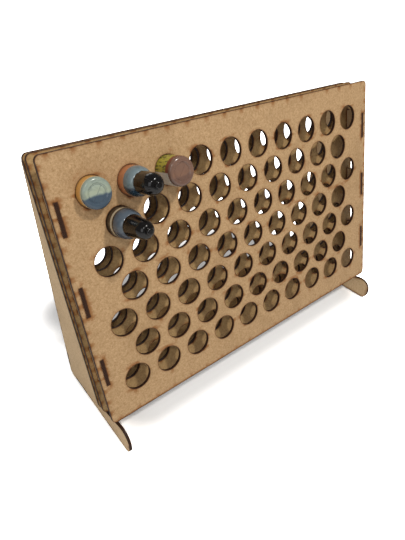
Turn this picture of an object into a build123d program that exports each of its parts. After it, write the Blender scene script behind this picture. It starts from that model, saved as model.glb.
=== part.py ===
from build123d import *
import os
from collections import namedtuple
from math import cos, radians, sin, sqrt

# A table-top bottle rack for a hobby bench, cut from flat board: three drilled boards lean back on two
# comb-shaped side panels that two braces join, and small dropper bottles lie in the holes. Millimetres,
# +Z up, -Y is the front. The origin is on the table, midway between the side panels and midway along
# their bases.

# Boards
board_thickness = 3.0
hole_columns = 10
hole_rows = 7
column_pitch = 36.0
row_pitch = 29.7
edge_margin = 35.5
board_corner_radius = 5.0
hole_diameter = 26.0
rest_hole_diameter = 22.0
middle_board_depth = 20.0
rest_board_depth = 29.0

# Side panels, in their own plane
lean_angle = 15.0
side_inset = 4.5
base_length = 130.0
toe_reach = 18.0
board_lift = 33.5
arm_gap = 6.5
toe_top_radius = 14.0
toe_bottom_radius = 10.0
arm_root_radius = 2.0
side_top_drop = 10.0
side_corner_radius = 5.0

# Fingers of the side panels, and the slots that take them
finger_count = 3
finger_pitch = 71.5
finger_lift = 3.5
finger_length = 27.5
finger_step = 4.5
slot_clearance = 0.05

# Braces between the side panels: one stands at the back, one lies on the table in front of it
brace_width = 46.0
rear_tab_length = 20.0
bottom_tab_length = 26.0

# Bottles
bottle_radius = 12.5
bottle_wall = 1.2
bottle_foot_radius = 2.4
base_recess_radius = 8.4
base_recess_depth = 0.9
shoulder_height = 9.0
neck_radius = 7.0
neck_height = 9.0
neck_bore_radius = 5.2
seat_gap = 0.3

# Nozzle plug in each neck
plug_depth = 6.0
plug_wall = 1.0
flange_radius = 6.6
flange_thickness = 1.2
tip_root_radius = 3.4
tip_end_radius = 1.6
tip_length = 10.0
drop_hole_radius = 0.5

# Screw caps
cap_radius = 9.4
cap_gap = 0.3
cap_dome_height = 8.5
nub_radius = 2.9
nub_height = 3.0
nub_edge_radius = 1.2
facet_count = 12
rib_count = 30
rib_depth = 0.35
rib_width = 1.0

# Labels and contents
label_thickness = 0.15
label_margin = 1.0
fill_gap = 0.05
fill_share = 0.92

board_width = (hole_columns - 1) * column_pitch + 2 * edge_margin
board_height = (hole_rows - 1) * row_pitch + 2 * edge_margin
side_centre = board_width / 2 - side_inset - board_thickness / 2
lean = radians(lean_angle)

# The front board's lower front edge, and the plane of its front face: X across, Y up the board, Z outwards
front_edge_y = toe_reach - base_length / 2
front_face = Plane(
    origin=(0, front_edge_y, board_lift), x_dir=(1, 0, 0), z_dir=(0, -cos(lean), sin(lean))
)

# Middle of the bottom brace, which butts against the front of the rear one
bottom_brace_y = base_length / 2 - board_thickness - slot_clearance - brace_width / 2

# Each board's depth behind the front face, and the diameter of its holes
boards = {
    "front_board": (0, hole_diameter),
    "middle_board": (middle_board_depth, hole_diameter),
    "rest_board": (rest_board_depth, rest_hole_diameter),
}

# A bottle in a hole: its column and row from the top left, which end is out, and its own sizes
Bottle = namedtuple("Bottle", "name column row inverted body_length cap_side cap_end_radius cap_form")
bottles = [
    Bottle("short_bottle", 0, 0, True, 34.0, 12.5, 9.0, "faceted"),
    Bottle("faceted_cap_bottle", 1, 0, False, 38.0, 12.5, 9.0, "faceted"),
    Bottle("tall_bottle", 2, 0, True, 44.0, 15.0, 8.0, "ribbed"),
    Bottle("ribbed_cap_bottle", 0, 1, False, 41.0, 15.0, 8.0, "ribbed"),
]


def row_columns(row):
    """Holes in a row: every second row is set half a pitch over and has one hole fewer."""
    return hole_columns - row % 2


def hole_centre(column, row):
    """A hole's centre on the board, from the middle of the board's lower edge."""
    shift = column_pitch / 2 * (row % 2)
    across = edge_margin + shift + column * column_pitch - board_width / 2
    return across, board_height - edge_margin - row * row_pitch


def finger_heights():
    """Centres of the fingers, measured up the boards."""
    middle = board_height / 2 + finger_lift
    return [middle + (i - (finger_count - 1) / 2) * finger_pitch for i in range(finger_count)]


def finger_length_at(depth):
    """A finger's length where it passes the board at this depth: it is one step wider at each board."""
    steps = sorted(boards_depth for boards_depth, _ in boards.values()).index(depth)
    return finger_length + 2 * finger_step * steps


def board(depth, diameter):
    """One drilled board, in place."""
    holes = [hole_centre(column, row) for row in range(hole_rows) for column in range(row_columns(row))]
    slots = [(side * side_centre, height) for side in (-1, 1) for height in finger_heights()]
    slot_length = finger_length_at(depth) + 2 * slot_clearance
    slot_width = board_thickness + 2 * slot_clearance
    outline = Pos(0, board_height / 2) * RectangleRounded(board_width, board_height, board_corner_radius)
    outline -= [Pos(*centre) * Circle(diameter / 2) for centre in holes]
    outline -= [Pos(*centre) * Rectangle(slot_width, slot_length) for centre in slots]
    return front_face.offset(-depth) * extrude(outline, -board_thickness)


def side_point(depth, height):
    """(Y, Z) of a point in the side view, from its depth behind the front face and height up the board."""
    return (
        front_edge_y + height * sin(lean) + depth * cos(lean),
        board_lift + height * cos(lean) - depth * sin(lean),
    )


def finger_outline(height):
    """One stepped finger, from its tip at the front face back to the panel behind the rest board."""
    depths = sorted(depth for depth, _ in boards.values())
    backs = [depth + board_thickness for depth in depths]
    upper, lower = [], []
    start = 0
    for depth, back in zip(depths, backs):
        half = finger_length_at(depth) / 2
        upper += [side_point(start, height + half), side_point(back, height + half)]
        lower += [side_point(start, height - half), side_point(back, height - half)]
        start = back
    return upper, lower


def side_panel(side):
    """One side panel: upright back edge, flat base, an arm that reaches forward to the toe, and fingers."""
    back = rest_board_depth + board_thickness
    rear_y = base_length / 2
    toe_y = -base_length / 2
    top = side_point(back, board_height - side_top_drop)
    root = side_point(back, -arm_gap)
    # the arm's top edge is square to the boards, and is carried on until it meets the toe's front
    arm_run = (root[0] - toe_y) / cos(lean)
    toe_top = side_point(back - arm_run, -arm_gap)
    points = [(rear_y, 0), (rear_y, top[1]), top]
    for height in reversed(finger_heights()):
        upper, lower = finger_outline(height)
        points += reversed(upper)
        points += lower
    points += [root, toe_top, (toe_y, 0)]
    face = make_face(Polyline(*points, close=True))

    def corner(place):
        return face.vertices().sort_by_distance((place[0], place[1], 0))[0]

    face = fillet(corner((rear_y, 0)), side_corner_radius)
    face = fillet(corner((rear_y, top[1])), side_corner_radius)
    face = fillet(corner(root), arm_root_radius)
    face = fillet(corner(toe_top), toe_top_radius)
    face = fillet(corner((toe_y, 0)), toe_bottom_radius)
    # notches for the braces' tabs, open at the back edge and at the base
    slack = 2 * slot_clearance
    depth = board_thickness + slot_clearance
    rear_notch = Pos(rear_y, brace_width / 2) * Rectangle(2 * depth, rear_tab_length + slack)
    bottom_notch = Pos(bottom_brace_y, 0) * Rectangle(bottom_tab_length + slack, 2 * depth)
    face -= [rear_notch, bottom_notch]
    inner = side * side_centre - board_thickness / 2
    return Plane.YZ.offset(inner) * extrude(face, board_thickness)


def brace(tab_length):
    """A strip that spans the side panels, with one tab at each end, flush with their outer faces."""
    span = 2 * side_centre - board_thickness - 2 * slot_clearance
    strip = Rectangle(span, brace_width) + Rectangle(2 * side_centre + board_thickness, tab_length)
    return extrude(strip, board_thickness)


def rear_brace():
    """The brace that stands upright at the back edges of the side panels."""
    return Pos(0, base_length / 2, brace_width / 2) * Rot(90, 0, 0) * brace(rear_tab_length)


def bottom_brace():
    """The brace that lies flat between the bases of the side panels."""
    return Pos(0, bottom_brace_y, 0) * brace(bottom_tab_length)


def in_hole(bottle, solid):
    """A solid made along +Z from the bottle's base, laid in the bottle's hole."""
    across, height = hole_centre(bottle.column, bottle.row)
    if bottle.inverted:
        # the shoulder sits in the rest board's smaller hole
        spread = (rest_hole_diameter / 2 - neck_radius) / (bottle_radius - neck_radius)
        seat = bottle.body_length + shoulder_height * sqrt(1 - spread**2)
        base = seat + seat_gap - rest_board_depth
        return front_face * Pos(across, height, base) * Rot(180, 0, 0) * solid
    return front_face * Pos(across, height, seat_gap - rest_board_depth) * solid


def revolved(outline):
    """A solid of revolution about Z from a closed outline drawn in the XZ plane."""
    return revolve(Plane.XZ * make_face(outline), Axis.Z)


def bottle_shell(bottle):
    """The blown bottle: recessed base, straight side, elliptical shoulder and bare neck."""
    length = bottle.body_length
    shoulder_top = length + shoulder_height
    neck_top = shoulder_top + neck_height
    inner_radius = bottle_radius - bottle_wall
    outer = Line((0, base_recess_depth), (base_recess_radius - base_recess_depth, base_recess_depth))
    outer += Line(outer @ 1, (base_recess_radius, 0))
    outer += Line(outer @ 1, (bottle_radius - bottle_foot_radius, 0))
    outer += RadiusArc(outer @ 1, (bottle_radius, bottle_foot_radius), -bottle_foot_radius)
    outer += Line(outer @ 1, (bottle_radius, length))
    outer += EllipticalCenterArc(
        (neck_radius, length), bottle_radius - neck_radius, shoulder_height, start_angle=0, arc_size=90
    )
    outer += Polyline(
        (neck_radius, shoulder_top), (neck_radius, neck_top), (neck_bore_radius, neck_top),
        (neck_bore_radius, shoulder_top - bottle_wall),
    )
    outer += EllipticalCenterArc(
        (neck_bore_radius, length), inner_radius - neck_bore_radius, shoulder_height - bottle_wall,
        start_angle=0, arc_size=90,
    )
    floor = base_recess_depth + bottle_wall
    outer += Polyline((inner_radius, length), (inner_radius, floor), (0, floor), (0, base_recess_depth))
    return revolved(outer)


def paint_fill(bottle):
    """The paint, lying level in the lower half of the bottle's inside."""
    radius = bottle_radius - bottle_wall - fill_gap
    floor = base_recess_depth + bottle_wall + fill_gap
    column = Pos(0, 0, floor) * Cylinder(
        radius, fill_share * (bottle.body_length - floor), align=(Align.CENTER, Align.CENTER, Align.MIN)
    )
    laid = in_hole(bottle, column)
    span = 2 * bottle.body_length
    above = Box(span, span, span, align=(Align.CENTER, Align.CENTER, Align.MIN))
    return laid - Pos(laid.center()) * above


def nozzle(bottle):
    """The dropper plug: a sleeve in the neck, a flange on its rim and a tapered tip with a fine hole."""
    rim = bottle.body_length + shoulder_height + neck_height
    sleeve_radius = neck_bore_radius - fill_gap
    tip_base = rim + flange_thickness
    bore = sleeve_radius - plug_wall
    return revolved(Polyline(
        (drop_hole_radius, rim), (bore, rim), (bore, rim - plug_depth),
        (sleeve_radius, rim - plug_depth), (sleeve_radius, rim), (flange_radius, rim),
        (flange_radius, tip_base), (tip_root_radius, tip_base), (tip_end_radius, tip_base + tip_length),
        (drop_hole_radius, tip_base + tip_length), close=True,
    ))


def cap(bottle):
    """The screw cap: a skirt with facets or ribs, a domed shoulder and a nub over the nozzle's tip."""
    base = bottle.body_length + shoulder_height + cap_gap
    side_top = base + bottle.cap_side
    dome_top = side_top + cap_dome_height
    top = dome_top + nub_height
    end_radius = bottle.cap_end_radius
    outline = Line((neck_radius + cap_gap, base), (cap_radius, base))
    outline += Line(outline @ 1, (end_radius, side_top))
    outline += EllipticalCenterArc(
        (nub_radius, side_top), end_radius - nub_radius, cap_dome_height, start_angle=0, arc_size=90
    )
    outline += Line((nub_radius, dome_top), (nub_radius, top - nub_edge_radius))
    outline += CenterArc(
        (nub_radius - nub_edge_radius, top - nub_edge_radius), nub_edge_radius, start_angle=0, arc_size=90
    )
    rim = bottle.body_length + shoulder_height + neck_height
    lid = rim + flange_thickness + cap_gap
    tip_top = rim + flange_thickness + tip_length + cap_gap
    outline += Polyline(
        (nub_radius - nub_edge_radius, top), (0, top), (0, tip_top), (tip_end_radius + cap_gap, tip_top),
        (tip_root_radius + cap_gap, lid), (neck_radius + cap_gap, lid), (neck_radius + cap_gap, base),
    )
    body = revolved(outline)
    if bottle.cap_form == "faceted":
        flat = extrude(RegularPolygon(cap_radius, facet_count), top)
        return body & flat
    grooves = []
    for i in range(rib_count):
        groove = Box(2 * rib_depth, rib_width, bottle.cap_side, align=(Align.CENTER, Align.CENTER, Align.MIN))
        grooves.append(Rot(0, 0, 360 * i / rib_count) * Pos(cap_radius, 0, base + rib_width) * groove)
    return body - grooves


def label(bottle):
    """The wrapped label round the bottle's straight side."""
    base = bottle_foot_radius + label_margin
    length = bottle.body_length - label_margin - base
    outer = Cylinder(bottle_radius + label_thickness, length, align=(Align.CENTER, Align.CENTER, Align.MIN))
    inner = Cylinder(bottle_radius, length, align=(Align.CENTER, Align.CENTER, Align.MIN))
    return Pos(0, 0, base) * (outer - inner)


def main():
    os.makedirs("parts", exist_ok=True)
    parts = {name: board(depth, diameter) for name, (depth, diameter) in boards.items()}
    parts["left_side_panel"] = side_panel(-1)
    parts["right_side_panel"] = side_panel(1)
    parts["rear_brace"] = rear_brace()
    parts["bottom_brace"] = bottom_brace()
    for bottle in bottles:
        parts[bottle.name] = in_hole(bottle, bottle_shell(bottle))
        parts[bottle.name + "_paint"] = paint_fill(bottle)
        parts[bottle.name + "_nozzle"] = in_hole(bottle, nozzle(bottle))
        parts[bottle.name + "_cap"] = in_hole(bottle, cap(bottle))
        parts[bottle.name + "_label"] = in_hole(bottle, label(bottle))
    for name, shape in parts.items():
        export_step(shape, f"parts/{name}.step")


main()
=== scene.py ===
import math
from collections import namedtuple

import bpy
from mathutils import Matrix, Vector


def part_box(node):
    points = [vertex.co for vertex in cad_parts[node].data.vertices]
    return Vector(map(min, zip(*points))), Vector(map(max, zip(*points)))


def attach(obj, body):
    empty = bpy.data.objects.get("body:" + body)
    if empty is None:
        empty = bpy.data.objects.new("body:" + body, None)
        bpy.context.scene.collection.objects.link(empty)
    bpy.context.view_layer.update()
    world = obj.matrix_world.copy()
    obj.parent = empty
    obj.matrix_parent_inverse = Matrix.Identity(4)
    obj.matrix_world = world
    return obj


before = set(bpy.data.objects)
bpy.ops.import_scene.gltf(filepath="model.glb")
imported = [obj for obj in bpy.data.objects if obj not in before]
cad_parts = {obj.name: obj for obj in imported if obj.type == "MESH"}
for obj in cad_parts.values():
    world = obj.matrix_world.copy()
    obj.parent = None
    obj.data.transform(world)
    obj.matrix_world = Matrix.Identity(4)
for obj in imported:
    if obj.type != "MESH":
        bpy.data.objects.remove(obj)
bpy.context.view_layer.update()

# ---------------------------------------------------------------- sizes, in millimetres


def corners(node):
    """A CAD node's lowest and highest corners at rest, in millimetres."""
    low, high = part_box(node)
    return low * 1000, high * 1000


HOLE_RADII = {"front_board": 13.0, "middle_board": 13.0, "rest_board": 11.0}
LEAN = math.radians(15)
SIN, COS = math.sin(LEAN), math.cos(LEAN)

board_low, board_high = corners("front_board")
side_low, side_high = corners("left_side_panel")
brace_low, brace_high = corners("bottom_brace")

THICKNESS = side_high.x - side_low.x
BOARD_WIDTH = board_high.x - board_low.x
BOARD_HEIGHT = (board_high.z - board_low.z - THICKNESS * SIN) / COS
BOARD_CORNER = 5.0
# the front board's lower front edge, from which heights and depths are measured
FRONT_EDGE_Y = board_low.y
BOARD_LIFT = board_low.z + THICKNESS * SIN
# each board's depth behind the front face
DEPTHS = {node: (corners(node)[0].y - FRONT_EDGE_Y) / COS for node in HOLE_RADII}

# holes, in rows that are shifted by half a pitch in turn
COLUMNS, ROWS = 10, 7
COLUMN_PITCH, ROW_PITCH = 36.0, 29.7
MARGIN = 35.5

# side panels, and the slots for their stepped fingers
SIDE_CENTRE = -(side_low.x + side_high.x) / 2
BASE_HALF = side_high.y
SIDE_TOP_DROP = 10.0
SIDE_TOE_DROP = 6.5
FINGER_COUNT = 3
FINGER_PITCH = 71.5
FINGER_LIFT = 3.5
FINGER_LENGTH = 27.5
FINGER_STEP = 4.5
SLOT_CLEARANCE = 0.05
FINGER_HEIGHTS = [
    BOARD_HEIGHT / 2 + FINGER_LIFT + FINGER_PITCH * (i - (FINGER_COUNT - 1) / 2) for i in range(FINGER_COUNT)
]
SLOT_HALVES = {node: FINGER_LENGTH / 2 + SLOT_CLEARANCE + FINGER_STEP * i for i, node in enumerate(DEPTHS)}

# braces
BRACE_WIDTH = brace_high.y - brace_low.y
BOTTOM_BRACE_Y = (brace_low.y + brace_high.y) / 2

# bottles and caps
BOTTLE_RADIUS = 12.5
SHOULDER_HEIGHT = 9.0
NECK_RADIUS = 7.0
BASE_RECESS = 0.9
SEAT_GAP = 0.3
CAP_GAP = 0.3
CAP_SIDE = 12.5
CAP_END_RADIUS = 9.0
DOME_HEIGHT = 8.5
NUB_RADIUS = 2.9
FACET_COUNT = 12

# the slats of the laser cutter's bed, under the boards as they were cut
SLAT_PITCH = 12.6
CROSS_SLAT_PITCH = 21.0


def hole_centre(column, row):
    """(across, up the board) of a hole, from the middle of the front board's lower edge."""
    across = MARGIN + COLUMN_PITCH * (column + (row % 2) / 2) - BOARD_WIDTH / 2
    return across, BOARD_HEIGHT - MARGIN - row * ROW_PITCH


def side_place(depth, height):
    """(y, z) of a place given by its depth behind the front face and its height up the board."""
    return FRONT_EDGE_Y + height * SIN + depth * COS, BOARD_LIFT + height * COS - depth * SIN


# ---------------------------------------------------------------- colours


def linear(r, g, b):
    """An sRGB colour, 0 to 255, as the linear values that shaders take."""
    shares = [c / 255 for c in (r, g, b)]
    return tuple(c / 12.92 if c <= 0.04045 else ((c + 0.055) / 1.055) ** 2.4 for c in shares)


def scaled(colour, *factors):
    """A colour with its channels multiplied, by one factor or by one for each."""
    return tuple(k * c for k, c in zip(factors * (3 // len(factors)), colour))


# light and dark fibres of each kind of face, in the light that falls on it
FACE_COLOURS = {
    "front": (linear(187, 155, 116), linear(147, 116, 79)),
    "inner": (linear(184, 154, 108), linear(142, 112, 72)),
    "side": (linear(216, 188, 148), linear(186, 155, 115)),
}
# how far scorch marks spread on each kind of face
SCORCH_REACH = {"front": 1.35, "inner": 1.0, "side": 1.0}
SMOKE = linear(126, 84, 42)
SCORCH = linear(126, 76, 30)
SCORCH_CORE = linear(52, 26, 10)
CUT_LINE = linear(70, 38, 16)
CHAR_DARK, CHAR_LIGHT = linear(26, 14, 7), linear(72, 40, 20)

# a bottle above and below its paint line
BOTTLE_COLOURS = {
    "short_bottle": (linear(150, 161, 146), linear(68, 82, 95)),
    "faceted_cap_bottle": (linear(116, 130, 134), linear(34, 50, 62)),
    "tall_bottle": (linear(118, 90, 76), linear(106, 80, 68)),
    "ribbed_cap_bottle": (linear(86, 96, 106), linear(64, 72, 82)),
}
BLUE_PAINT, MAUVE_PAINT = linear(60, 78, 96), linear(120, 90, 80)
CAP_DARK, CAP_LIGHT = linear(10, 9, 9), linear(20, 18, 17)
NOZZLE_DARK, NOZZLE_LIGHT = linear(225, 226, 222), linear(240, 240, 236)
LABEL_GRIME = linear(110, 80, 44)

# ---------------------------------------------------------------- node expressions


class Field:
    """A number that varies over a surface, as the output socket of a node. The operators add Math nodes."""

    def __init__(self, tree, socket):
        self.tree, self.socket = tree, socket

    def math(self, operation, *others):
        node = self.tree.nodes.new("ShaderNodeMath")
        node.operation = operation
        for slot, value in zip(node.inputs, (self, *others)):
            plug(self.tree, value, slot)
        return Field(self.tree, node.outputs[0])

    def __add__(self, other):
        return self.math("ADD", other)

    def __sub__(self, other):
        return self.math("SUBTRACT", other)

    def __rsub__(self, other):
        return (self * -1.0) + other

    def __mul__(self, other):
        return self.math("MULTIPLY", other)

    def __truediv__(self, other):
        return self.math("DIVIDE", other)

    __radd__, __rmul__ = __add__, __mul__

    def __abs__(self):
        return self.math("ABSOLUTE")

    def min(self, other):
        return self.math("MINIMUM", other)

    def max(self, other):
        return self.math("MAXIMUM", other)

    def round(self):
        return self.math("ROUND")

    def clamp(self, low=0.0, high=1.0):
        return self.max(low).min(high)

    def step(self, low, high):
        """Smoothly 0 below low and 1 above high, or the other way round where low is the larger."""
        node = self.tree.nodes.new("ShaderNodeMapRange")
        node.interpolation_type = "SMOOTHSTEP"
        plug(self.tree, self, node.inputs["Value"])
        flip = low > high
        node.inputs["From Min"].default_value = min(low, high)
        node.inputs["From Max"].default_value = max(low, high)
        node.inputs["To Min"].default_value = 1.0 if flip else 0.0
        node.inputs["To Max"].default_value = 0.0 if flip else 1.0
        return Field(self.tree, node.outputs["Result"])

    def length(self, other):
        """Length of the vector that this number and another make."""
        return (self * self + other * other).math("SQRT")

    def from_multiple(self, pitch):
        """Distance from the nearest whole multiple of a pitch."""
        return abs(self - (self / pitch).round() * pitch)


def plug(tree, value, slot):
    """Links a field or a socket to an input, or sets the input to a plain value."""
    if isinstance(value, Field):
        tree.links.new(value.socket, slot)
    elif isinstance(value, bpy.types.NodeSocket):
        tree.links.new(value, slot)
    else:
        slot.default_value = value


class Paint:
    """A material under construction: its tree, its coordinates in millimetres and its Principled shader."""

    def __init__(self, name):
        self.material = bpy.data.materials.new(name)
        self.material.use_nodes = True
        self.tree = self.material.node_tree
        self.shader = self.tree.nodes["Principled BSDF"]
        coordinate = self.tree.nodes.new("ShaderNodeTexCoord")
        self.normal_vector = coordinate.outputs["Normal"]
        scale = self.tree.nodes.new("ShaderNodeVectorMath")
        scale.operation = "SCALE"
        self.tree.links.new(coordinate.outputs["Object"], scale.inputs[0])
        scale.inputs["Scale"].default_value = 1000.0
        self.point = scale.outputs[0]
        self.x, self.y, self.z = self.split(self.point)

    def split(self, vector):
        node = self.tree.nodes.new("ShaderNodeSeparateXYZ")
        self.tree.links.new(vector, node.inputs[0])
        return [Field(self.tree, s) for s in node.outputs]

    def join(self, *fields):
        node = self.tree.nodes.new("ShaderNodeCombineXYZ")
        for slot, value in zip(node.inputs, fields):
            plug(self.tree, value, slot)
        return node.outputs[0]

    def noise(self, vector, scale, detail=2.0, roughness=0.5, distortion=0.0):
        """Noise about 0.5 whose lumps are about 1 / scale millimetres."""
        node = self.tree.nodes.new("ShaderNodeTexNoise")
        plug(self.tree, vector, node.inputs["Vector"])
        node.inputs["Scale"].default_value = scale
        node.inputs["Detail"].default_value = detail
        node.inputs["Roughness"].default_value = roughness
        node.inputs["Distortion"].default_value = distortion
        return Field(self.tree, node.outputs["Fac"])

    def mix(self, share, a, b):
        """Colour a where the share is 0 and colour b where it is 1."""
        node = self.tree.nodes.new("ShaderNodeMix")
        node.data_type = "RGBA"
        plug(self.tree, share, node.inputs["Factor"])
        for value, slot in ((a, node.inputs["A"]), (b, node.inputs["B"])):
            plug(self.tree, (*value, 1.0) if isinstance(value, tuple) else value, slot)
        return node.outputs["Result"]

    def set(self, **values):
        """Sets the shader's inputs, named with underscores for spaces."""
        for name, value in values.items():
            plug(self.tree, value, self.shader.inputs[name.replace("_", " ")])

    def bump(self, height, distance, strength):
        """Bumps of a distance in millimetres."""
        node = self.tree.nodes.new("ShaderNodeBump")
        node.inputs["Strength"].default_value = strength
        node.inputs["Distance"].default_value = distance / 1000
        plug(self.tree, height, node.inputs["Height"])
        self.tree.links.new(node.outputs[0], self.shader.inputs["Normal"])


def dress(node, paint):
    """Gives a CAD node the finished material in every slot."""
    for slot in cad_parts[node].material_slots:
        slot.material = paint.material


# ---------------------------------------------------------------- distances from cuts


def segment_distance(y, z, a, b):
    """Distance in the side view from (y, z) to the straight run from a to b."""
    dy, dz = b[0] - a[0], b[1] - a[1]
    along = ((y - a[0]) * dy + (z - a[1]) * dz) / (dy * dy + dz * dz)
    along = along.clamp()
    return (y - a[0] - along * dy).length(z - a[1] - along * dz)


def hole_distance(u, v, radius):
    """Distance past the rim of the nearest hole, from two lattices, one for each kind of row."""
    nearest = None
    for odd in (0, 1):
        first_u, first_v = hole_centre(0, odd)
        column = ((u - first_u) / COLUMN_PITCH).round().clamp(0, COLUMNS - 1 - odd)
        row = ((first_v - v) / (2 * ROW_PITCH)).round().clamp(0, (ROWS - 1) // 2 - odd)
        away = (u - first_u - column * COLUMN_PITCH).length(first_v - v - row * (2 * ROW_PITCH))
        nearest = away if nearest is None else nearest.min(away)
    return nearest - radius


def box_distance(a, b, half_a, half_b, corner=0.0):
    """Signed distance from a rounded rectangle's outline, negative inside it."""
    qa, qb = abs(a) - (half_a - corner), abs(b) - (half_b - corner)
    outside = qa.max(0.0).length(qb.max(0.0))
    return outside + qa.max(qb).min(0.0) - corner


def board_coordinates(paint):
    """(across, up the board, depth behind the front face) in millimetres."""
    y, z = paint.y - FRONT_EDGE_Y, paint.z - BOARD_LIFT
    return paint.x, y * SIN + z * COS, y * COS - z * SIN


def board_edge(node):
    """Makes the function for a board's distances: from its nearest cut, and from its outline and slots."""

    def edge(paint):
        u, v, _ = board_coordinates(paint)
        away = hole_distance(u, v, HOLE_RADII[node])
        half_width, half_height = BOARD_WIDTH / 2, BOARD_HEIGHT / 2
        outline = box_distance(u, v - half_height, half_width, half_height, BOARD_CORNER) * -1.0
        for height in FINGER_HEIGHTS:
            slot = box_distance(abs(u) - SIDE_CENTRE, v - height, THICKNESS / 2, SLOT_HALVES[node])
            outline = outline.min(slot.max(0.0))
        return away.min(outline), outline

    return edge


def side_edge(paint):
    """A side panel's distance from its nearest straight edge, given twice as it has no holes."""
    back = DEPTHS["rest_board"] + THICKNESS
    top = side_place(back, BOARD_HEIGHT - SIDE_TOP_DROP)
    root = side_place(back, -SIDE_TOE_DROP)
    toe = (-BASE_HALF, root[1] + (root[0] + BASE_HALF) * math.tan(LEAN))
    rear_top, rear_foot, front_foot = (BASE_HALF, top[1]), (BASE_HALF, 0), (-BASE_HALF, 0)
    away = abs(paint.y + BASE_HALF)
    for a, b in ((top, rear_top), (rear_top, rear_foot), (rear_foot, front_foot), (root, toe), (root, top)):
        away = away.min(segment_distance(paint.y, paint.z, a, b))
    return away, away


def brace_edge(node):
    """Makes the function for a brace's distance from its edges and ends, given twice as it has no holes."""

    def edge(paint):
        middle = paint.z - BRACE_WIDTH / 2 if node == "rear_brace" else paint.y - BOTTOM_BRACE_Y
        away = (BRACE_WIDTH / 2 - abs(middle)).min(SIDE_CENTRE + THICKNESS / 2 - abs(paint.x))
        return away, away

    return edge


def face_share(paint, facing):
    """1 on the faces of a flat piece that faces along a direction, and 0 on its cuts."""
    along = None
    for part, weight in zip(paint.split(paint.normal_vector), facing):
        if weight:
            along = part * weight if along is None else along + part * weight
    return abs(along).step(0.5, 0.8)


# ---------------------------------------------------------------- fibreboard


def raw_colour(paint, kind, fibre, mottle):
    """Fibreboard as it comes: fibres and mottle, dark flecks and broad clouds."""
    light, dark = FACE_COLOURS[kind]
    grain = (fibre - 0.5) * 1.5 + (mottle - 0.5) * 1.9 + 0.5
    fleck = paint.noise(paint.point, 0.8, detail=1.0).step(0.66, 0.74)
    cloud = paint.noise(paint.point, 0.03, detail=3.0, roughness=0.55)
    colour = paint.mix(grain.clamp(), dark, light)
    colour = paint.mix(fleck * 0.4, colour, scaled(dark, 0.5))
    return paint.mix(((cloud - 0.5) * 1.5).clamp(0.0, 0.35), colour, scaled(dark, 0.8))


def burnt(paint, colour, fibre, kind, burn, distances):
    """Adds what the laser left: smoke and a brown line along each cut, and scorch marks over the slats."""
    away, outline = distances
    u, v, _ = board_coordinates(paint)
    ragged = paint.noise(paint.point, 0.5) * 2.6
    smoke = (away + ragged * 0.5).step(3.6, 0.7)
    colour = paint.mix(smoke * 0.35, colour, SMOKE)
    # marks differ from one to the next, and are heavier near the outline and low on the board
    spot = (v.from_multiple(SLAT_PITCH).min(u.from_multiple(CROSS_SLAT_PITCH)) + ragged * 0.9).step(5.2, 1.6)
    patch = paint.noise(paint.join(u * 0.05, v * 0.09, 0.0), 1.0, detail=1.0)
    patch = patch + outline.step(10.0, 3.0) * 0.22 + v.step(75.0, 20.0) * 0.06
    reach = SCORCH_REACH[kind]
    near = (away + ragged).step(6.4 * reach, 1.4 * reach)
    mark = spot * near * patch.step(0.70 - 0.2 * burn, 0.80 - 0.2 * burn)
    core = mark * (away + ragged * 0.6).step(2.2, 0.6)
    colour = paint.mix(mark * (0.55 + 0.3 * burn), colour, SCORCH)
    colour = paint.mix(core * 0.85, colour, SCORCH_CORE)
    line = (away + (fibre - 0.5) * 0.6).step(0.8, 0.2)
    return paint.mix(line * 0.85, colour, CUT_LINE)


def charred_cut(paint):
    """A cut through the board, with striations across it."""
    u, v, _ = board_coordinates(paint)
    stripe = paint.noise(paint.join(u, v, 0.0), 1.7, roughness=0.6)
    return paint.mix(stripe.step(0.35, 0.75), CHAR_DARK, CHAR_LIGHT)


def fibreboard(name, kind, burn, facing, edge):
    """Raw laser-cut fibreboard. facing is the direction that its faces face, edge gives the distances from
    its nearest cut and from its outline, and burn is how badly it is scorched."""
    paint = Paint(name)
    fibre = paint.noise(paint.point, 1.3, detail=3.0, roughness=0.7)
    mottle = paint.noise(paint.point, 0.48, detail=3.0, roughness=0.66)
    face = burnt(paint, raw_colour(paint, kind, fibre, mottle), fibre, kind, burn, edge(paint))
    colour = paint.mix(face_share(paint, facing), charred_cut(paint), face)
    paint.set(Base_Color=colour, Roughness=0.62 + (fibre - 0.5) * 0.2, Specular_IOR_Level=0.22)
    paint.bump(fibre * 0.6 + mottle * 0.4, distance=0.08, strength=0.6)
    return paint


def dress_rack():
    for node in DEPTHS:
        kind, burn = ("front", 0.75) if node == "front_board" else ("inner", 1.0)
        dress(node, fibreboard("fibreboard_" + node, kind, burn, (0, COS, -SIN), board_edge(node)))
    sides = fibreboard("fibreboard_sides", "side", 0.6, (1, 0, 0), side_edge)
    for node in ("left_side_panel", "right_side_panel"):
        dress(node, sides)
    for node, facing in (("rear_brace", (0, 1, 0)), ("bottom_brace", (0, 0, 1))):
        dress(node, fibreboard("fibreboard_" + node, "inner", 0.8, facing, brace_edge(node)))


# ---------------------------------------------------------------- bottles

# the hole that a bottle stands in, whether its base is out of the rack, and its straight length
Bottle = namedtuple("Bottle", "column row inverted length")
BOTTLES = {
    "short_bottle": Bottle(0, 0, True, 34.0),
    "faceted_cap_bottle": Bottle(1, 0, False, 38.0),
    "tall_bottle": Bottle(2, 0, True, 44.0),
    "ribbed_cap_bottle": Bottle(0, 1, False, 41.0),
}
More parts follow.
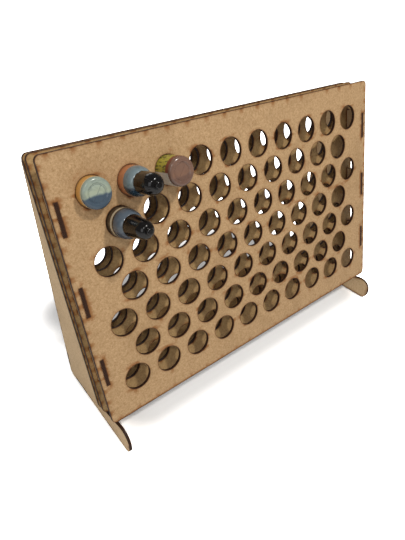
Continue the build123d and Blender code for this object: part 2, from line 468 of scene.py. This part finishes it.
# where the bands of a label begin, out from the front face, and their colours
WRAP_START = -40
LABELS = {
    "short_bottle": dict(
        bands=[(WRAP_START, linear(200, 148, 78)), (7.6, linear(196, 176, 138))],
        ragged=2.5,
    ),
    "faceted_cap_bottle": dict(bands=[(WRAP_START, linear(168, 106, 68))]),
    "tall_bottle": dict(
        bands=[(WRAP_START, linear(158, 152, 50)), (14.2, linear(104, 36, 24))],
        ragged=0.6,
        under=linear(190, 184, 172),
        blotch=linear(58, 62, 22),
    ),
    "ribbed_cap_bottle": dict(
        bands=[(WRAP_START, linear(20, 18, 17)), (6.3, linear(176, 166, 142)), (9.2, linear(24, 22, 20))],
        ragged=0.4,
    ),
}


def bottle_coordinates(paint, name):
    """(distance from the bottle's axis across, the same up the board, depth) in millimetres."""
    u, v, w = board_coordinates(paint)
    across, height = hole_centre(BOTTLES[name].column, BOTTLES[name].row)
    return u - across, v - height, w


def bottle_plastic(name):
    """Milky blown plastic over settled paint: pale above the paint line and dark below it, with a painted
    highlight just above the line and painted shade towards the rim.
    """
    upper, lower = BOTTLE_COLOURS[name]
    paint = Paint("plastic_" + name)
    a, b, w = bottle_coordinates(paint, name)
    swirl = paint.noise(paint.point, 0.12, detail=1.0)
    haze = paint.noise(paint.point, 0.22)
    # height above the paint line, which is level and crosses the bottle's axis a little behind the front face
    level = b * COS + (w + 10.0) * -SIN + (swirl - 0.5) * 4.0 + 0.8
    # a painted highlight: a paler band just above the paint line
    paint_line_highlight = level.step(0.0, 1.5) * level.step(7.0, 2.0)
    # painted shade: the plastic darkens towards the bottle's rim
    rim = a.length(b).step(8.0, BOTTLE_RADIUS - 0.1)
    colour = paint.mix(level.step(-0.9, 0.9), lower, upper)
    colour = paint.mix(paint_line_highlight * 0.45, colour, scaled(upper, 1.22, 1.12, 0.95))
    colour = paint.mix(((haze - 0.5) * 1.2).clamp(0.0, 0.25), colour, scaled(lower, 0.68))
    colour = paint.mix(rim * 0.3, colour, scaled(lower, 0.6))
    paint.set(Base_Color=colour, Roughness=0.2 + (haze - 0.5) * 0.1, Specular_IOR_Level=0.55)
    paint.set(Subsurface_Weight=0.12, Subsurface_Radius=(0.004, 0.004, 0.004), Subsurface_Scale=0.5)
    return paint


def glossy_black(name):
    paint = Paint(name)
    fine = paint.noise(paint.point, 0.6)
    colour = paint.mix(fine, CAP_DARK, CAP_LIGHT)
    paint.set(Base_Color=colour, Roughness=0.14 + (fine - 0.5) * 0.1, Specular_IOR_Level=0.5)
    paint.bump(fine, distance=0.12, strength=0.4)
    return paint


def wet_paint(name, colour):
    paint = Paint(name)
    swirl = paint.noise(paint.point, 0.15, detail=3.0, distortion=1.0)
    paint.set(Base_Color=paint.mix(swirl, scaled(colour, 0.8), scaled(colour, 1.2)), Roughness=0.2)
    return paint


def natural_plastic(name):
    paint = Paint(name)
    fine = paint.noise(paint.point, 0.4)
    paint.set(Base_Color=paint.mix(fine, NOZZLE_DARK, NOZZLE_LIGHT), Roughness=0.4)
    return paint


def banded_label(name, bands, ragged=0.0, under=None, blotch=None):
    """A glossy sheet with bands round the bottle, whose borders are ragged by so many millimetres. blotch is
    a darker tint that mottles the first band, and under a tint for the label's underside."""
    paint = Paint("label_" + name)
    a, b, w = bottle_coordinates(paint, name)
    grain = paint.noise(paint.point, 0.9)
    colour = bands[0][1]
    if blotch:
        streak = paint.noise(paint.join(a * 0.9, b * 0.9, w * 0.25), 0.8, roughness=0.6)
        colour = paint.mix(streak.step(0.5, 0.58) * 0.9, colour, blotch)
    out = w * -1.0 + (grain - 0.5) * ragged
    for start, tint in bands[1:]:
        colour = paint.mix(out.step(start - 0.1, start + 0.1), colour, tint)
    if under:
        colour = paint.mix((b + a * 0.3).step(-2.0, -3.0), colour, under)
    colour = paint.mix(((grain - 0.5) * 1.5).clamp(0.0, 0.25), colour, LABEL_GRIME)
    paint.set(Base_Color=colour, Roughness=0.3, Coat_Weight=0.3, Coat_Roughness=0.15)
    return paint


# ---------------------------------------------------------------- moulded details

BEAD_SIDES = 6
MARK_REACH = 6.9
MARK_RADIUS = 0.1
RING_SIDES = 40
RIDGE_RADIUS = 0.22
RIDGE_STEPS = 8
# where a ridge begins and ends on the dome, as angles up from its foot
RIDGE_START, RIDGE_SPAN = 0.16, 0.95


def hole_frame(name):
    """Where a bottle's axis meets the front face: X across, Y up the board, Z out of the face, in metres."""
    across, height = hole_centre(BOTTLES[name].column, BOTTLES[name].row)
    y, z = side_place(0, height)
    turn = Matrix(((1, 0, 0), (0, SIN, -COS), (0, COS, SIN)))
    return Matrix.Translation(Vector((across, y, z)) / 1000) @ turn.to_4x4()


def base_out(bottle):
    """How far a bottle's base is out of the front face, below 0 where it stands in the rack."""
    if not bottle.inverted:
        return SEAT_GAP - DEPTHS["rest_board"]
    # the shoulder sits in the rest board's smaller hole
    spread = (HOLE_RADII["rest_board"] - NECK_RADIUS) / (BOTTLE_RADIUS - NECK_RADIUS)
    return bottle.length + SHOULDER_HEIGHT * math.sqrt(1 - spread**2) + SEAT_GAP - DEPTHS["rest_board"]


def bead(name, paths, radius):
    """A mesh of round beads, each along a path of points in millimetres, as one object."""
    vertices, faces = [], []
    for path in paths:
        points = [Vector(p) for p in path]
        first = len(vertices)
        for i, p in enumerate(points):
            along = (points[min(i + 1, len(points) - 1)] - points[max(i - 1, 0)]).normalized()
            side = along.cross(Vector((0.0, 0.0, 1.0)))
            if side.length <= 0.05:
                side = along.cross(Vector((0.0, 1.0, 0.0)))
            side.normalize()
            up = side.cross(along)
            for k in range(BEAD_SIDES):
                turn = 2 * math.pi * k / BEAD_SIDES
                vertices.append((p + radius * (math.cos(turn) * side + math.sin(turn) * up)) / 1000)
        for i in range(len(points) - 1):
            for k in range(BEAD_SIDES):
                a, b = (first + i * BEAD_SIDES + q % BEAD_SIDES for q in (k, k + 1))
                faces.append((a, b, b + BEAD_SIDES, a + BEAD_SIDES))
        last = first + (len(points) - 1) * BEAD_SIDES
        faces.append(tuple(first + k for k in reversed(range(BEAD_SIDES))))
        faces.append(tuple(last + k for k in range(BEAD_SIDES)))
    mesh = bpy.data.meshes.new(name)
    mesh.from_pydata(vertices, [], faces)
    mesh.polygons.foreach_set("use_smooth", [True] * len(mesh.polygons))
    obj = bpy.data.objects.new(name, mesh)
    bpy.context.scene.collection.objects.link(obj)
    return obj


def base_marks(name, paint):
    """The mould's parting line across a blown bottle's recessed base, and the ring round it."""
    bottle = BOTTLES[name]
    angle = 0.9 if bottle.inverted else 0.3
    floor = base_out(bottle) + (-BASE_RECESS if bottle.inverted else BASE_RECESS)
    a, b = MARK_REACH * math.cos(angle), MARK_REACH * math.sin(angle)
    turns = [2 * math.pi * i / RING_SIDES for i in range(RING_SIDES + 1)]
    ring = [(MARK_REACH * math.cos(t), MARK_REACH * math.sin(t), floor) for t in turns]
    obj = bead(name + "_mould_marks", [[(-a, -b, floor), (a, b, floor)], ring], MARK_RADIUS)
    obj.matrix_world = hole_frame(name)
    obj.data.materials.append(paint.material)
    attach(obj, name)


def dome_ridges(name, paint):
    """Short grip ridges on the dome of a faceted cap, one over each facet's corner."""
    bottle = BOTTLES[name]
    top = bottle.length + SHOULDER_HEIGHT + CAP_GAP + CAP_SIDE
    paths = []
    for i in range(FACET_COUNT):
        turn = 2 * math.pi * (i + 0.5) / FACET_COUNT
        path = []
        for k in range(RIDGE_STEPS + 1):
            t = RIDGE_START + RIDGE_SPAN * k / RIDGE_STEPS
            r = NUB_RADIUS + (CAP_END_RADIUS - NUB_RADIUS) * math.cos(t)
            path.append((r * math.cos(turn), r * math.sin(turn), top + DOME_HEIGHT * math.sin(t)))
        paths.append(path)
    obj = bead(name + "_cap_ridges", paths, RIDGE_RADIUS)
    seat = Matrix.Translation((0, 0, base_out(bottle) / 1000))
    if bottle.inverted:
        seat = seat @ Matrix.Rotation(math.pi, 4, "X")
    obj.matrix_world = hole_frame(name) @ seat
    obj.data.materials.append(paint.material)
    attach(obj, name + "_cap")


def dress_bottles():
    black = glossy_black("black_cap")
    natural = natural_plastic("natural_plastic")
    blue = wet_paint("blue_paint", BLUE_PAINT)
    mauve = wet_paint("mauve_paint", MAUVE_PAINT)
    for name in BOTTLES:
        plastic = bottle_plastic(name)
        dress(name, plastic)
        base_marks(name, plastic)
        dress(name + "_cap", black)
        dress(name + "_nozzle", natural)
        dress(name + "_paint", mauve if name == "tall_bottle" else blue)
        dress(name + "_label", banded_label(name, **LABELS[name]))
    for name in ("short_bottle", "faceted_cap_bottle"):
        dome_ridges(name, black)


# ---------------------------------------------------------------- floor, light and camera, in metres

FLOOR_HALF = 6.0
# the floor's colour as it lights the rack, as the camera sees it near the rack, and what is added farther off
FLOOR_LIT, FLOOR_SEEN, FLOOR_FAR = 0.78, 0.85, 2.6
# the part of the floor that stays dark enough to show the rack's shadow
SHADE_CENTRE, SHADE_HALF = (0.01, 0.07), (0.175, 0.11)
SHADE_CORNER, SHADE_BLUR = 0.02, 0.06
# the world's strength as it lights the rack, as the camera sees it, and as it is mirrored
WORLD_LIT, WORLD_SEEN, WORLD_MIRRORED = 0.45, 1.0, 0.12
LAMP_AIM = (0.0, 0.0, 0.12)
Lamp = namedtuple("Lamp", "name place side power tint")
LAMPS = (
    Lamp("key", (0.25, -0.75, 1.35), 0.12, 12.0, (1.0, 0.97, 0.92)),
    Lamp("lamp", (-0.6, -0.9, 1.3), 0.12, 4.0, (1.0, 0.98, 0.95)),
    Lamp("fill", (-1.3, -0.8, 0.8), 0.9, 3.5, (0.97, 0.98, 1.0)),
    Lamp("back", (0.3, 1.4, 1.0), 0.8, 4.0, (1.0, 0.99, 0.97)),
)
# the photograph's own view, worked out from the hole centres; angles in degrees
CAMERA_PLACE = (-0.28739, -0.27978, 0.39196)
CAMERA_ANGLES = (53.402, -1.269, -38.679)
LENS = 28.78


def ray_kinds(tree):
    """Two fields: 1 for rays that the camera sees, straight or through glass, and 1 for mirrored rays."""
    path = tree.nodes.new("ShaderNodeLightPath")
    straight, through, mirrored = (
        Field(tree, path.outputs[kind]) for kind in ("Is Camera Ray", "Is Transmission Ray", "Is Glossy Ray")
    )
    return straight.max(through), mirrored


def floor_material():
    """Seen brighter than it lights the rack, so that it looks white and its shadows stay."""
    material = bpy.data.materials.new("floor")
    material.use_nodes = True
    tree = material.node_tree
    shader = tree.nodes["Principled BSDF"]
    shader.inputs["Roughness"].default_value = 0.9
    shader.inputs["Specular IOR Level"].default_value = 0.0
    geometry = tree.nodes.new("ShaderNodeNewGeometry")
    place = tree.nodes.new("ShaderNodeSeparateXYZ")
    tree.links.new(geometry.outputs["Position"], place.inputs[0])
    x, y, _ = (Field(tree, socket) for socket in place.outputs)
    shaded = box_distance(x - SHADE_CENTRE[0], y - SHADE_CENTRE[1], *SHADE_HALF, SHADE_CORNER)
    far = shaded.step(0.0, SHADE_BLUR)
    seen, _ = ray_kinds(tree)
    shade = seen * (far * FLOOR_FAR + (FLOOR_SEEN - FLOOR_LIT)) + FLOOR_LIT
    tint = tree.nodes.new("ShaderNodeCombineXYZ")
    for slot in tint.inputs:
        plug(tree, shade, slot)
    tree.links.new(tint.outputs[0], shader.inputs["Base Color"])
    return material


def lay_floor():
    mesh = bpy.data.meshes.new("floor")
    outline = [(-FLOOR_HALF, -FLOOR_HALF, 0), (FLOOR_HALF, -FLOOR_HALF, 0)]
    outline += [(FLOOR_HALF, FLOOR_HALF, 0), (-FLOOR_HALF, FLOOR_HALF, 0)]
    mesh.from_pydata(outline, [], [(0, 1, 2, 3)])
    floor = bpy.data.objects.new("floor", mesh)
    bpy.context.scene.collection.objects.link(floor)
    mesh.materials.append(floor_material())


def light_world():
    world = bpy.data.worlds.new("studio")
    bpy.context.scene.world = world
    world.use_nodes = True
    tree = world.node_tree
    background = tree.nodes["Background"]
    background.inputs["Color"].default_value = (1.0, 1.0, 1.0, 1)
    seen, mirrored = ray_kinds(tree)
    strength = seen * (WORLD_SEEN - WORLD_LIT) + WORLD_LIT - mirrored * (WORLD_LIT - WORLD_MIRRORED)
    plug(tree, strength.max(0.0), background.inputs["Strength"])


def light_lamps():
    for lamp in LAMPS:
        light = bpy.data.lights.new(lamp.name, "AREA")
        light.shape = "SQUARE"
        light.size = lamp.side
        light.energy = lamp.power
        light.color = lamp.tint
        obj = bpy.data.objects.new(lamp.name, light)
        obj.location = lamp.place
        view = Vector(LAMP_AIM) - Vector(lamp.place)
        obj.rotation_euler = view.to_track_quat("-Z", "Y").to_euler()
        bpy.context.scene.collection.objects.link(obj)


def place_camera():
    data = bpy.data.cameras.new("camera")
    data.sensor_fit = "AUTO"
    data.sensor_width = 36.0
    data.lens = LENS
    data.clip_start = 0.01
    data.clip_end = 50.0
    eye = bpy.data.objects.new("camera", data)
    eye.location = CAMERA_PLACE
    eye.rotation_euler = [math.radians(angle) for angle in CAMERA_ANGLES]
    bpy.context.scene.collection.objects.link(eye)
    bpy.context.scene.camera = eye


dress_rack()
dress_bottles()
lay_floor()
light_world()
light_lamps()
place_camera()
bpy.context.scene.view_settings.view_transform = "Standard"
